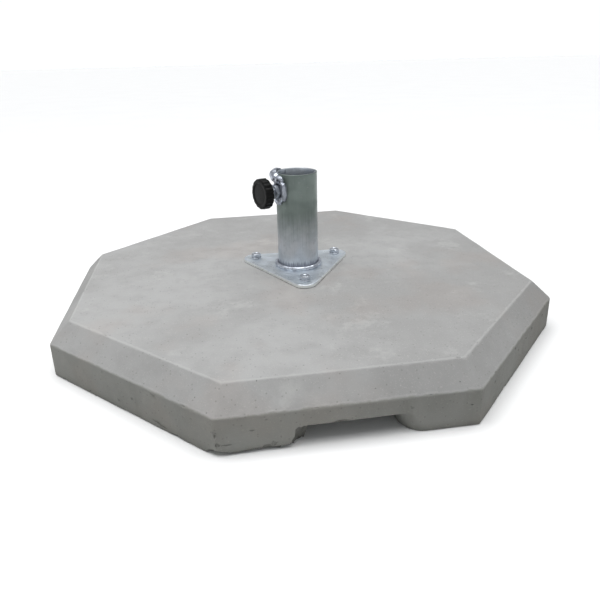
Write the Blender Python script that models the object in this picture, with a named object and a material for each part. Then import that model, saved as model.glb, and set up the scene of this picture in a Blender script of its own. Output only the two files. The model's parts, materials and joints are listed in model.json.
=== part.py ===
"""Parasol base: an octagonal cast concrete slab that carries a steel pole socket.

The socket is a tube welded to a three-cornered plate, and three bolts hold the plate to threaded
sleeves cast into the slab. A clamp screw with a plastic knob runs through a nut welded near the
tube's rim. Metres, +Z up, origin at the centre of the slab's underside, front towards -Y.
"""

import math

import bmesh
import bpy
from mathutils import Matrix

MM = 0.001
FIT_GAP = 0.3 * MM  # between pieces that touch on the real object
OVERRUN = 2 * MM  # how far a cutter reaches past the face that it opens
SMOOTH_ANGLE = 35  # degrees; a sharper edge is shaded as an edge
BEVEL_ANGLE = math.radians(30)  # edges flatter than this are left as they are

# Concrete slab
SLAB_FLATS = 672 * MM
SLAB_TOP_FLATS = 621 * MM
SLAB_HEIGHT = 69 * MM
SLAB_BAND = 44 * MM  # height of the upright side, below the sloping chamfer
SLAB_ARRIS = 1.6 * MM

# Hand recess under the front and the back edge
RECESS_OFFSET = 5 * MM  # the moulding block sat this far to one side
RECESS_DEPTH = 95 * MM
RECESS_HEIGHT = 25 * MM
RECESS_SHOULDER = 5 * MM  # height of the rounding between wall and ceiling
RECESS_FLOOR_HALF = 51 * MM
RECESS_UPPER_HALF = 47 * MM
RECESS_CEILING_HALF = 41 * MM
RECESS_FLOOR_FLARE = 28 * MM  # radius of the rounded foot beside the mouth
RECESS_UPPER_FLARE = 17.5 * MM
RECESS_CEILING_FLARE = 16 * MM
RECESS_END_RADIUS = 24 * MM
RECESS_ARC_STEPS = 7

# Base plate: a triangle with rounded corners
PLATE_INRADIUS = 54 * MM
PLATE_CORNER_RADIUS = 17 * MM
PLATE_THICKNESS = 5 * MM
PLATE_EDGE = 0.6 * MM
PLATE_TURN = math.radians(-92)  # direction of the first corner
PLATE_CORNERS = 3
PLATE_ARC_STEPS = 10
PLATE_Z = SLAB_HEIGHT + FIT_GAP
SPIGOT_RADIUS = 27 * MM  # the raised disc that centres the tube, and the seat of the pole
SPIGOT_HEIGHT = 1 * MM

# M8 fixings at the plate's corners
BOLT_CIRCLE = 72 * MM
BOLT_RADIUS = 4 * MM
BOLT_FLATS = 13 * MM
BOLT_HEAD = 5.3 * MM
BOLT_HEAD_CHAMFER = 0.7 * MM
BOLT_LENGTH = 30 * MM
BOLT_HOLE_RADIUS = 4.5 * MM
WASHER_RADIUS = 8 * MM
WASHER_HOLE_RADIUS = 4.3 * MM
WASHER_THICKNESS = 1.6 * MM
WASHER_Z = PLATE_Z + PLATE_THICKNESS + FIT_GAP
BOLT_HEAD_Z = WASHER_Z + WASHER_THICKNESS + FIT_GAP

# Threaded sleeves cast into the slab
SLEEVE_RADIUS = 6.5 * MM
SLEEVE_BORE = 4.3 * MM
SLEEVE_LENGTH = 45 * MM
SLEEVE_BORE_DEPTH = 36 * MM
SLEEVE_FOOT_RADIUS = 10 * MM
SLEEVE_FOOT = 4 * MM

# Pole socket: 2-inch pipe
TUBE_RADIUS = 30.15 * MM
TUBE_BORE = 27.25 * MM
TUBE_TOP = 215.3 * MM
TUBE_EDGE = 0.4 * MM
TUBE_Z = PLATE_Z + PLATE_THICKNESS + FIT_GAP
TUBE_SIDES = 96
FILLET_LEG = 5.5 * MM
FILLET_BULGE = 0.55  # how far the weld's face stands out, as a share of its leg
FILLET_STEPS = 4

# Clamp screw: an M12 thread whose axis is level and points at the tube's centre
SCREW_TURN = math.radians(205)
SCREW_DROP = 24.7 * MM
SCREW_RADIUS = 6 * MM
SCREW_CHAMFER = 0.9 * MM
SCREW_HOLE_RADIUS = 6.5 * MM
SCREW_HEAD_FLATS = 18 * MM
SCREW_HEAD = 7 * MM
NUT_START = 30.6 * MM  # all starts and ends are distances from the tube's axis
NUT_END = 40.6 * MM
NUT_FLATS = 19 * MM
NUT_BORE = 6.15 * MM
NUT_CHAMFER = 1.0 * MM
BEAD_FOOT_SIDE = 14 * MM  # the weld round the nut: half width and half height on the tube
BEAD_FOOT_TALL = 20 * MM
BEAD_SHOULDER_SIDE = 12.6 * MM
BEAD_SHOULDER_TALL = 15.8 * MM
BEAD_SHOULDER_END = 34 * MM
BEAD_LIP_SIDE = 11.6 * MM
BEAD_LIP_TALL = 12.4 * MM
BEAD_END = 37 * MM

# Plastic thrust cap pressed into the screw's tip
CAP_START = 27.6 * MM
CAP_RADIUS = 5 * MM
CAP_EDGE = 0.6 * MM
CAP_THICKNESS = 3 * MM
PEG_RADIUS = 2.4 * MM
PEG_LENGTH = 5 * MM
SCREW_START = CAP_START + CAP_THICKNESS + FIT_GAP
PEG_BORE_END = CAP_START + CAP_THICKNESS + PEG_LENGTH + FIT_GAP

# Knob moulded over the screw's head
KNOB_RADIUS = 21.8 * MM
KNOB_START = 49.6 * MM
KNOB_END = 63.4 * MM
KNOB_WALL = 3.1 * MM  # plastic between the back face and the screw's head
KNOB_BACK_RIM = 17 * MM
KNOB_BACK_SETBACK = 2.4 * MM
KNOB_FRONT_ROUND = 2.6 * MM
KNOB_DISH_RADIUS = 15 * MM
KNOB_DISH_DEPTH = 0.8 * MM
KNOB_LOBES = 16
KNOB_GROOVE = 0.045  # depth of a grip groove, as a share of the radius
KNOB_POINTS_PER_LOBE = 6
SCREW_HEAD_START = KNOB_START + KNOB_WALL + FIT_GAP

RING_POINTS = 48
BOLT_POINTS = 24


def material(name, colour, roughness, metallic):
    made = bpy.data.materials.new(name)
    made.use_nodes = True
    shader = made.node_tree.nodes["Principled BSDF"]
    shader.inputs["Base Color"].default_value = (*colour, 1.0)
    shader.inputs["Roughness"].default_value = roughness
    shader.inputs["Metallic"].default_value = metallic
    return made


def circle(radius, z, points=RING_POINTS):
    """A level ring of points, counterclockwise."""
    turns = [math.tau * i / points for i in range(points)]
    return [(radius * math.cos(a), radius * math.sin(a), z) for a in turns]


def hexagon(flats, z, points=RING_POINTS):
    """A hexagon with its corners among the same number of points as a circle."""
    ring = []
    for i in range(points):
        turn = math.tau * i / points
        from_flat = turn % (math.pi / 3) - math.pi / 6
        radius = flats / 2 / math.cos(from_flat)
        ring.append((radius * math.cos(turn), radius * math.sin(turn), z))
    return ring


def octagon(flats, z):
    """An octagon with flats facing +X, -X, +Y and -Y."""
    radius = flats / 2 / math.cos(math.pi / 8)
    turns = [math.pi / 8 + math.pi / 4 * i for i in range(8)]
    return [(radius * math.cos(a), radius * math.sin(a), z) for a in turns]


def loft(name, rings, finish, is_loop=False, smooth_angle=SMOOTH_ANGLE):
    """A closed solid through rings of equal count: capped, or joined end to start as a loop."""
    shape = bmesh.new()
    made = [[shape.verts.new(point) for point in ring] for ring in rings]
    count = len(made[0])
    pairs = list(zip(made, made[1:]))
    if is_loop:
        pairs.append((made[-1], made[0]))
    else:
        shape.faces.new(made[0])
        shape.faces.new(made[-1])
    for lower, upper in pairs:
        for i in range(count):
            j = (i + 1) % count
            shape.faces.new((lower[i], lower[j], upper[j], upper[i]))
    bmesh.ops.recalc_face_normals(shape, faces=shape.faces)
    mesh = bpy.data.meshes.new(name)
    shape.to_mesh(mesh)
    shape.free()
    if smooth_angle:
        mesh.shade_smooth()
        mesh.set_sharp_from_angle(angle=math.radians(smooth_angle))
    mesh.materials.append(finish)
    made_object = bpy.data.objects.new(name, mesh)
    bpy.context.scene.collection.objects.link(made_object)
    return made_object


def combine(target, tool, operation):
    """Applies the tool's shape to the target with a live Boolean, and hides the tool."""
    tool.hide_render = True
    tool.display_type = "WIRE"
    boolean = target.modifiers.new(tool.name, "BOOLEAN")
    boolean.operation = operation
    boolean.object = tool


def cut(target, cutter):
    combine(target, cutter, "DIFFERENCE")


def join(target, addition):
    combine(target, addition, "UNION")


def soften(target, width, segments):
    bevel = target.modifiers.new("worn_edges", "BEVEL")
    bevel.width = width
    bevel.segments = segments
    bevel.limit_method = "ANGLE"
    bevel.angle_limit = BEVEL_ANGLE


def corner_turns():
    """Directions of the base plate's corners from the tube's axis."""
    return [PLATE_TURN + math.tau * i / PLATE_CORNERS for i in range(PLATE_CORNERS)]


def screw_frame():
    """Local Z along the clamp screw, away from the tube; local Y up; origin on the tube's axis."""
    out_x = math.cos(SCREW_TURN)
    out_y = math.sin(SCREW_TURN)
    rotation = Matrix(((-out_y, 0, out_x), (out_x, 0, out_y), (0, 1, 0)))
    return Matrix.Translation((0, 0, TUBE_TOP - SCREW_DROP)) @ rotation.to_4x4()


def recess_outline(half, flare, depth, z):
    """Plan of a hand recess: a U whose mouth widens round the slab's two feet. Y runs inward."""
    outer = half + flare
    quarter = [math.pi / 2 * i / RECESS_ARC_STEPS for i in range(RECESS_ARC_STEPS + 1)]
    end = RECESS_END_RADIUS
    right = [(outer, -OVERRUN)]
    right += [(outer - flare * math.sin(a), flare - flare * math.cos(a)) for a in quarter]
    right += [(half - end + end * math.cos(a), depth - end + end * math.sin(a)) for a in quarter]
    left = [(-x, y) for x, y in reversed(right)]
    return [(x, y, z) for x, y in right + left]


def recess_cutter(name, finish, turn):
    """One recess, lofted from the underside to its ceiling and turned to face its edge."""
    shoulder = RECESS_HEIGHT - RECESS_SHOULDER
    inset = RECESS_SHOULDER
    rings = [
        recess_outline(RECESS_FLOOR_HALF, RECESS_FLOOR_FLARE, RECESS_DEPTH, -OVERRUN),
        recess_outline(RECESS_UPPER_HALF, RECESS_UPPER_FLARE, RECESS_DEPTH - inset, shoulder),
        recess_outline(
            RECESS_CEILING_HALF, RECESS_CEILING_FLARE, RECESS_DEPTH - 2 * inset, RECESS_HEIGHT
        ),
    ]
    cutter = loft(name, rings, finish, smooth_angle=0)
    placed = Matrix.Translation((RECESS_OFFSET, -SLAB_FLATS / 2, 0))
    cutter.matrix_world = Matrix.Rotation(turn, 4, "Z") @ placed
    return cutter


def sleeve_pocket(name, finish, turn):
    """The hole that a cast-in sleeve leaves in the concrete, open at the top."""
    foot_top = SLAB_HEIGHT - SLEEVE_LENGTH + SLEEVE_FOOT + FIT_GAP
    bottom = SLAB_HEIGHT - SLEEVE_LENGTH - FIT_GAP
    rings = [
        circle(SLEEVE_FOOT_RADIUS + FIT_GAP, bottom, BOLT_POINTS),
        circle(SLEEVE_FOOT_RADIUS + FIT_GAP, foot_top, BOLT_POINTS),
        circle(SLEEVE_RADIUS + FIT_GAP, foot_top, BOLT_POINTS),
        circle(SLEEVE_RADIUS + FIT_GAP, SLAB_HEIGHT + OVERRUN, BOLT_POINTS),
    ]
    cutter = loft(name, rings, finish)
    cutter.location = (BOLT_CIRCLE * math.cos(turn), BOLT_CIRCLE * math.sin(turn), 0)
    return cutter


def concrete_slab(finish):
    rings = [
        octagon(SLAB_FLATS, 0),
        octagon(SLAB_FLATS, SLAB_BAND),
        octagon(SLAB_TOP_FLATS, SLAB_HEIGHT),
    ]
    slab = loft("concrete_slab", rings, finish, smooth_angle=0)
    soften(slab, SLAB_ARRIS, segments=2)
    cut(slab, recess_cutter("front_recess_cutter", finish, 0))
    cut(slab, recess_cutter("back_recess_cutter", finish, math.pi))
    for number, turn in enumerate(corner_turns(), 1):
        cut(slab, sleeve_pocket(f"sleeve_pocket_cutter_{number}", finish, turn))


def cast_sleeve(number, turn, finish):
    """A threaded anchor: round body, wider foot, blind bore."""
    bottom = SLAB_HEIGHT - SLEEVE_LENGTH
    rings = [
        circle(SLEEVE_FOOT_RADIUS, bottom, BOLT_POINTS),
        circle(SLEEVE_FOOT_RADIUS, bottom + SLEEVE_FOOT, BOLT_POINTS),
        circle(SLEEVE_RADIUS, bottom + SLEEVE_FOOT, BOLT_POINTS),
        circle(SLEEVE_RADIUS, SLAB_HEIGHT, BOLT_POINTS),
        circle(SLEEVE_BORE, SLAB_HEIGHT, BOLT_POINTS),
        circle(SLEEVE_BORE, SLAB_HEIGHT - SLEEVE_BORE_DEPTH, BOLT_POINTS),
    ]
    sleeve = loft(f"cast_sleeve_{number}", rings, finish)
    sleeve.location = (BOLT_CIRCLE * math.cos(turn), BOLT_CIRCLE * math.sin(turn), 0)


def plate_outline(z):
    """A triangle with rounded corners, as three arcs."""
    centre_distance = (PLATE_INRADIUS - PLATE_CORNER_RADIUS) / math.cos(math.pi / PLATE_CORNERS)
    outline = []
    for turn in corner_turns():
        centre_x = centre_distance * math.cos(turn)
        centre_y = centre_distance * math.sin(turn)
        for i in range(PLATE_ARC_STEPS + 1):
            angle = turn + (i / PLATE_ARC_STEPS - 0.5) * math.tau / PLATE_CORNERS
            x = centre_x + PLATE_CORNER_RADIUS * math.cos(angle)
            y = centre_y + PLATE_CORNER_RADIUS * math.sin(angle)
            outline.append((x, y, z))
    return outline


def base_plate(finish):
    top = PLATE_Z + PLATE_THICKNESS
    plate = loft("base_plate", [plate_outline(PLATE_Z), plate_outline(top)], finish)
    soften(plate, PLATE_EDGE, segments=2)
    spigot = [
        circle(SPIGOT_RADIUS, PLATE_Z + PLATE_THICKNESS / 2),
        circle(SPIGOT_RADIUS, top + SPIGOT_HEIGHT),
    ]
    join(plate, loft("plate_spigot", spigot, finish))
    for number, turn in enumerate(corner_turns(), 1):
        drill = [
            circle(BOLT_HOLE_RADIUS, PLATE_Z - OVERRUN, BOLT_POINTS),
            circle(BOLT_HOLE_RADIUS, top + OVERRUN, BOLT_POINTS),
        ]
        cutter = loft(f"plate_hole_cutter_{number}", drill, finish)
        cutter.location = (BOLT_CIRCLE * math.cos(turn), BOLT_CIRCLE * math.sin(turn), 0)
        cut(plate, cutter)


def plate_washer(number, turn, finish):
    rings = [
        circle(WASHER_RADIUS, 0, BOLT_POINTS),
        circle(WASHER_RADIUS, WASHER_THICKNESS, BOLT_POINTS),
        circle(WASHER_HOLE_RADIUS, WASHER_THICKNESS, BOLT_POINTS),
        circle(WASHER_HOLE_RADIUS, 0, BOLT_POINTS),
    ]
    washer = loft(f"plate_washer_{number}", rings, finish, is_loop=True)
    washer.location = (BOLT_CIRCLE * math.cos(turn), BOLT_CIRCLE * math.sin(turn), WASHER_Z)


def plate_bolt(number, turn, finish):
    """A hexagon bolt, modelled from the underside of its head."""
    tip_radius = BOLT_RADIUS - BOLT_HEAD_CHAMFER
    rings = [
        circle(tip_radius, -BOLT_LENGTH, BOLT_POINTS),
        circle(BOLT_RADIUS, -BOLT_LENGTH + BOLT_HEAD_CHAMFER, BOLT_POINTS),
        circle(BOLT_RADIUS, 0, BOLT_POINTS),
        hexagon(BOLT_FLATS, 0, BOLT_POINTS),
        hexagon(BOLT_FLATS, BOLT_HEAD - BOLT_HEAD_CHAMFER, BOLT_POINTS),
        circle(BOLT_FLATS / 2 - BOLT_HEAD_CHAMFER, BOLT_HEAD, BOLT_POINTS),
    ]
    bolt = loft(f"plate_bolt_{number}", rings, finish)
    bolt.location = (BOLT_CIRCLE * math.cos(turn), BOLT_CIRCLE * math.sin(turn), BOLT_HEAD_Z)
    bolt.rotation_euler.z = turn


def socket_tube(finish):
    """The pipe, with its edges broken and one hole for the clamp screw."""
    rings = [
        circle(TUBE_RADIUS, TUBE_Z, TUBE_SIDES),
        circle(TUBE_RADIUS, TUBE_TOP - TUBE_EDGE, TUBE_SIDES),
        circle(TUBE_RADIUS - TUBE_EDGE, TUBE_TOP, TUBE_SIDES),
        circle(TUBE_BORE + TUBE_EDGE, TUBE_TOP, TUBE_SIDES),
        circle(TUBE_BORE, TUBE_TOP - TUBE_EDGE, TUBE_SIDES),
        circle(TUBE_BORE, TUBE_Z, TUBE_SIDES),
    ]
    tube = loft("socket_tube", rings, finish, is_loop=True)
    drill = [
        circle(SCREW_HOLE_RADIUS, TUBE_BORE / 2),
        circle(SCREW_HOLE_RADIUS, TUBE_RADIUS + OVERRUN),
    ]
    cutter = loft("screw_hole_cutter", drill, finish)
    cutter.matrix_world = screw_frame()
    cut(tube, cutter)


def tube_weld(finish):
    """The fillet weld between tube and plate: a ring with a convex face."""
    inner = TUBE_RADIUS + FIT_GAP
    rings = [circle(inner, TUBE_Z)]
    for i in range(FILLET_STEPS + 1):
        share = i / FILLET_STEPS
        bulge = FILLET_LEG * FILLET_BULGE * share * (1 - share)
        radius = inner + FILLET_LEG * (1 - share) + bulge
        rings.append(circle(radius, TUBE_Z + FILLET_LEG * share + bulge))
    loft("tube_weld", rings, finish, is_loop=True)


def clamp_nut(finish):
    rings = [
        circle(NUT_BORE, NUT_START),
        hexagon(NUT_FLATS, NUT_START),
        hexagon(NUT_FLATS, NUT_END - NUT_CHAMFER),
        circle(NUT_FLATS / 2, NUT_END),
        circle(NUT_BORE + NUT_CHAMFER, NUT_END),
        circle(NUT_BORE, NUT_END - NUT_CHAMFER),
    ]
    nut = loft("clamp_nut", rings, finish, is_loop=True)
    nut.matrix_world = screw_frame()


def nut_weld(finish):
    """The weld that buries the nut's foot: an oval skirt, taller than wide, fitted to the tube."""

    def on_tube(ring):
        reach = TUBE_RADIUS + FIT_GAP
        return [(x, y, math.sqrt(reach * reach - x * x)) for x, y, _ in ring]

    def oval(side, tall, z):
        return [(x * side, y * tall, z) for x, y, _ in circle(1, 0)]

    around_nut = NUT_FLATS + 2 * FIT_GAP
    rings = [
        on_tube(oval(BEAD_FOOT_SIDE, BEAD_FOOT_TALL, 0)),
        oval(BEAD_SHOULDER_SIDE, BEAD_SHOULDER_TALL, BEAD_SHOULDER_END),
        oval(BEAD_LIP_SIDE, BEAD_LIP_TALL, BEAD_END),
        hexagon(around_nut, BEAD_END),
        on_tube(hexagon(around_nut, 0)),
    ]
    weld = loft("nut_weld", rings, finish, is_loop=True)
    weld.matrix_world = screw_frame()


def clamp_screw(finish, carrier):
    """The screw: blind bore for the thrust cap, plain shank, hexagon head inside the knob."""
    rings = [
        circle(PEG_RADIUS + FIT_GAP, PEG_BORE_END),
        circle(PEG_RADIUS + FIT_GAP, SCREW_START),
        circle(SCREW_RADIUS - SCREW_CHAMFER, SCREW_START),
        circle(SCREW_RADIUS, SCREW_START + SCREW_CHAMFER),
        circle(SCREW_RADIUS, SCREW_HEAD_START),
        hexagon(SCREW_HEAD_FLATS, SCREW_HEAD_START),
        hexagon(SCREW_HEAD_FLATS, SCREW_HEAD_START + SCREW_HEAD),
    ]
    screw = loft("clamp_screw", rings, finish)
    screw.parent = carrier


def thrust_cap(finish, carrier):
    """The cap that meets the pole, with the peg that holds it in the screw's tip."""
    cap_end = CAP_START + CAP_THICKNESS
    rings = [
        circle(CAP_RADIUS - CAP_EDGE, CAP_START, BOLT_POINTS),
        circle(CAP_RADIUS, CAP_START + CAP_EDGE, BOLT_POINTS),
        circle(CAP_RADIUS, cap_end, BOLT_POINTS),
        circle(PEG_RADIUS, cap_end, BOLT_POINTS),
        circle(PEG_RADIUS, cap_end + PEG_LENGTH, BOLT_POINTS),
    ]
    cap = loft("thrust_cap", rings, finish)
    cap.parent = carrier


def clamp_knob(finish, carrier):
    """A round knob with grip grooves, and a hexagon pocket that the screw's head fills."""
    points = KNOB_LOBES * KNOB_POINTS_PER_LOBE
    pocket_flats = SCREW_HEAD_FLATS + 2 * FIT_GAP
    pocket_start = SCREW_HEAD_START - FIT_GAP
    pocket_end = SCREW_HEAD_START + SCREW_HEAD + FIT_GAP
    corner_inset = KNOB_FRONT_ROUND * (1 - math.sqrt(0.5))

    def grip(radius, z):
        ring = []
        for x, y, _ in circle(1, 0, points):
            wave = 0.5 - 0.5 * math.cos(KNOB_LOBES * math.atan2(y, x))
            reach = radius * (1 - KNOB_GROOVE * wave)
            ring.append((x * reach, y * reach, z))
        return ring

    rings = [
        hexagon(pocket_flats, pocket_end, points),
        hexagon(pocket_flats, pocket_start, points),
        circle(SCREW_RADIUS + FIT_GAP, pocket_start, points),
        circle(SCREW_RADIUS + FIT_GAP, KNOB_START, points),
        circle(KNOB_BACK_RIM, KNOB_START, points),
        grip(KNOB_RADIUS, KNOB_START + KNOB_BACK_SETBACK),
        grip(KNOB_RADIUS, KNOB_END - KNOB_FRONT_ROUND),
        grip(KNOB_RADIUS - corner_inset, KNOB_END - corner_inset),
        circle(KNOB_RADIUS - KNOB_FRONT_ROUND, KNOB_END, points),
        circle(KNOB_DISH_RADIUS, KNOB_END - KNOB_DISH_DEPTH, points),
    ]
    knob = loft("clamp_knob", rings, finish)
    knob.parent = carrier


def screw_carrier():
    """An empty on the clamp screw's axis, which carries what turns and travels."""
    carrier = bpy.data.objects.new("clamp_screw_axis", None)
    carrier.matrix_world = screw_frame()
    bpy.context.scene.collection.objects.link(carrier)
    return carrier


def main():
    for old in list(bpy.data.objects):
        bpy.data.objects.remove(old)
    concrete = material("cast_concrete", (0.42, 0.42, 0.40), 0.92, 0.0)
    zinc = material("zinc_plated_steel", (0.50, 0.53, 0.55), 0.38, 1.0)
    bright_zinc = material("bright_zinc", (0.62, 0.66, 0.72), 0.28, 1.0)
    weld_metal = material("weld_metal", (0.46, 0.49, 0.54), 0.42, 1.0)
    anchor_steel = material("anchor_steel", (0.40, 0.41, 0.42), 0.5, 1.0)
    black_plastic = material("black_plastic", (0.022, 0.022, 0.022), 0.5, 0.0)
    white_nylon = material("nylon", (0.72, 0.71, 0.66), 0.45, 0.0)

    concrete_slab(concrete)
    base_plate(zinc)
    for number, turn in enumerate(corner_turns(), 1):
        cast_sleeve(number, turn, anchor_steel)
        plate_washer(number, turn, bright_zinc)
        plate_bolt(number, turn, bright_zinc)
    socket_tube(zinc)
    tube_weld(weld_metal)
    clamp_nut(bright_zinc)
    nut_weld(weld_metal)
    carrier = screw_carrier()
    clamp_screw(bright_zinc, carrier)
    thrust_cap(white_nylon, carrier)
    clamp_knob(black_plastic, carrier)


main()
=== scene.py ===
import json
import math
import random

import bmesh
import bpy
from mathutils import Matrix, Vector, noise


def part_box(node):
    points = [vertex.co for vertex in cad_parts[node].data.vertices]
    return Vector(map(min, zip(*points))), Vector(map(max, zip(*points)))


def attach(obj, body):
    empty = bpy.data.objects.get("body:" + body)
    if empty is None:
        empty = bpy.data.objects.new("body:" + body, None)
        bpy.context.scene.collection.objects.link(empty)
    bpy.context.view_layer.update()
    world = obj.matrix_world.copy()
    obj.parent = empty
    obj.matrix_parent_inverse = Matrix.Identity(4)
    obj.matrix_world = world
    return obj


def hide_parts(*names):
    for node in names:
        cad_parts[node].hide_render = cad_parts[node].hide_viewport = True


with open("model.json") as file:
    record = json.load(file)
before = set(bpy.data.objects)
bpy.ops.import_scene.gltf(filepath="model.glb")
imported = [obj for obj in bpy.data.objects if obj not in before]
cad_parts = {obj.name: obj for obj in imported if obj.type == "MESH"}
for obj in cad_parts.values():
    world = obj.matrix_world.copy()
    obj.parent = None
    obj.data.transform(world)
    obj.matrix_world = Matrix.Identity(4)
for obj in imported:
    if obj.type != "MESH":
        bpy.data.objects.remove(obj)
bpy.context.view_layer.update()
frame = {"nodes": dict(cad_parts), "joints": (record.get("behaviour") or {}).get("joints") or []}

mm = 0.001
print("frame loaded:", len(frame["nodes"]), "nodes")


# working helpers

def selectOnly(piece):
    bpy.ops.object.select_all(action="DESELECT")
    piece.select_set(True)
    bpy.context.view_layer.objects.active = piece


def named(name):  # takes up the primitive that was just added
    piece = bpy.context.object
    piece.name = name
    piece.data.name = name
    return piece


def openEdit(piece, mode="FACE"):
    selectOnly(piece)
    bpy.ops.object.mode_set(mode="EDIT")
    bpy.ops.mesh.select_mode(type=mode)
    bpy.ops.mesh.select_all(action="DESELECT")


def closeEdit():
    bpy.ops.object.mode_set(mode="OBJECT")


def pick(piece, kind, test):  # selects the faces or edges whose place passes the test
    bpy.ops.mesh.select_all(action="DESELECT")
    shape = bmesh.from_edit_mesh(piece.data)
    for part in getattr(shape, kind):
        if test(part):
            part.select_set(True)
    bmesh.update_edit_mesh(piece.data)


def applied(piece, kind, **settings):
    selectOnly(piece)
    modifier = piece.modifiers.new(kind.lower(), kind)
    for setting, value in settings.items():
        setattr(modifier, setting, value)
    bpy.ops.object.modifier_apply(modifier=modifier.name)


def cutWith(piece, tool, operation="DIFFERENCE"):
    applied(piece, "BOOLEAN", operation=operation, object=tool, solver="EXACT")
    bpy.data.objects.remove(tool)


def joined(pieces):
    selectOnly(pieces[0])
    for piece in pieces[1:]:
        piece.select_set(True)
    bpy.ops.object.join()
    return pieces[0]


def fixPlace(piece):
    selectOnly(piece)
    bpy.ops.object.transform_apply(location=True, rotation=True, scale=True)


def placed(piece, matrix):  # applies its own place first, then the given one
    fixPlace(piece)
    piece.matrix_world = matrix
    fixPlace(piece)
    return piece


def smooth(piece, degrees):
    selectOnly(piece)
    bpy.ops.object.shade_smooth_by_angle(angle=math.radians(degrees))


def settle(piece, material, body, slot, *nodes):
    piece.data.materials.clear()
    piece.data.materials.append(material)
    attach(piece, body)
    if nodes:
        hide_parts(*nodes)


def isLevel(edge, height):
    return all(abs(corner.co.z - height) < 1e-5 for corner in edge.verts)


def isRing(edge):  # runs round Z
    reach = [math.hypot(corner.co.x, corner.co.y) for corner in edge.verts]
    return abs(reach[0] - reach[1]) < 1e-5 and reach[0] > 1e-4


def growUp(piece, radius, steps):  # draws the picked end out through (radius, height) steps
    shape = bmesh.from_edit_mesh(piece.data)
    height = sum(face.calc_center_median().z for face in shape.faces if face.select)
    for nextRadius, nextHeight in steps:
        bpy.ops.mesh.extrude_region_move(
            TRANSFORM_OT_translate={"value": (0, 0, nextHeight - height)})
        share = nextRadius / radius
        bpy.ops.transform.resize(value=(share, share, 1), center_override=(0, 0, nextHeight))
        radius, height = nextRadius, nextHeight


# material helpers

def newMaterial(name, colour, roughness, metallic=0.0):
    made = bpy.data.materials.new(name)
    made.use_nodes = True
    shader = made.node_tree.nodes["Principled BSDF"]
    shader.inputs["Base Color"].default_value = (*colour, 1)
    shader.inputs["Roughness"].default_value = roughness
    shader.inputs["Metallic"].default_value = metallic
    return made


def addNode(tree, kind, inputs, **settings):
    made = tree.nodes.new("ShaderNode" + kind)
    for setting, value in settings.items():
        setattr(made, setting, value)
    for socket, value in inputs.items():
        if isinstance(value, bpy.types.NodeSocket):
            tree.links.new(value, made.inputs[socket])
        else:
            made.inputs[socket].default_value = value
    return made


def objectPlace(tree, stretch=(1, 1, 1), shift=(0, 0, 0), turn=(0, 0, 0)):
    place = addNode(tree, "TexCoord", {}).outputs["Object"]
    inputs = {"Vector": place, "Location": shift, "Rotation": turn, "Scale": stretch}
    return addNode(tree, "Mapping", inputs, vector_type="POINT").outputs[0]


def cloud(tree, place, scale, detail=3.0, roughness=0.55):
    inputs = {"Vector": place, "Scale": scale, "Detail": detail, "Roughness": roughness}
    return addNode(tree, "TexNoise", inputs).outputs[0]


def cells(tree, place, scale, output="Distance"):
    return addNode(tree, "TexVoronoi", {"Vector": place, "Scale": scale}).outputs[output]


def between(tree, value, low, high, toLow=0.0, toHigh=1.0):
    inputs = {"Value": value, "From Min": low, "From Max": high,
              "To Min": toLow, "To Max": toHigh}
    return addNode(tree, "MapRange", inputs, interpolation_type="SMOOTHSTEP").outputs[0]


def calc(tree, operation, first, second=0.0):
    return addNode(tree, "Math", {0: first, 1: second}, operation=operation).outputs[0]


def blended(tree, share, first, second, how="MIX"):
    first, second = [(*c, 1) if isinstance(c, tuple) else c for c in (first, second)]
    inputs = {0: share, 6: first, 7: second}
    return addNode(tree, "Mix", inputs, data_type="RGBA", blend_type=how).outputs[2]


def raised(tree, height, distance, strength=1.0, under=None):
    inputs = {"Height": height, "Distance": distance, "Strength": strength}
    if under:
        inputs["Normal"] = under
    return addNode(tree, "Bump", inputs).outputs[0]


def finishWith(tree, **sockets):
    shader = tree.nodes["Principled BSDF"]
    for socket, value in sockets.items():
        tree.links.new(value, shader.inputs[socket.replace("_", " ")])


# camera

cameraSet = {
    "aim": (0, 0, 68.9 * mm),
    "turn": -8.757,  # degrees from straight in front
    "rise": 20.432,
    "distance": 870 * mm,
    "roll": -1.404,
    "lens": 33.995,
    "shift": (0.0025, -0.0564),
}
turn, rise, roll = [math.radians(cameraSet[key]) for key in ("turn", "rise", "roll")]
backward = Vector((
    math.sin(turn) * math.cos(rise), -math.cos(turn) * math.cos(rise), math.sin(rise)))
level = Vector((0, 0, 1)).cross(backward).normalized()
upright = backward.cross(level)
across = level * math.cos(roll) + upright * math.sin(roll)
above = upright * math.cos(roll) - level * math.sin(roll)
bpy.ops.object.camera_add()
camera = bpy.context.object
camera.name = "camera"
camera.data.lens = cameraSet["lens"]
camera.data.sensor_width = 36
camera.data.shift_x, camera.data.shift_y = cameraSet["shift"]
camera.data.clip_start = 0.01
view = Matrix((across, above, backward)).transposed().to_4x4()
view.translation = Vector(cameraSet["aim"]) + backward * cameraSet["distance"]
camera.matrix_world = view
bpy.context.scene.camera = camera
print("camera set")


# concrete slab

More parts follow.
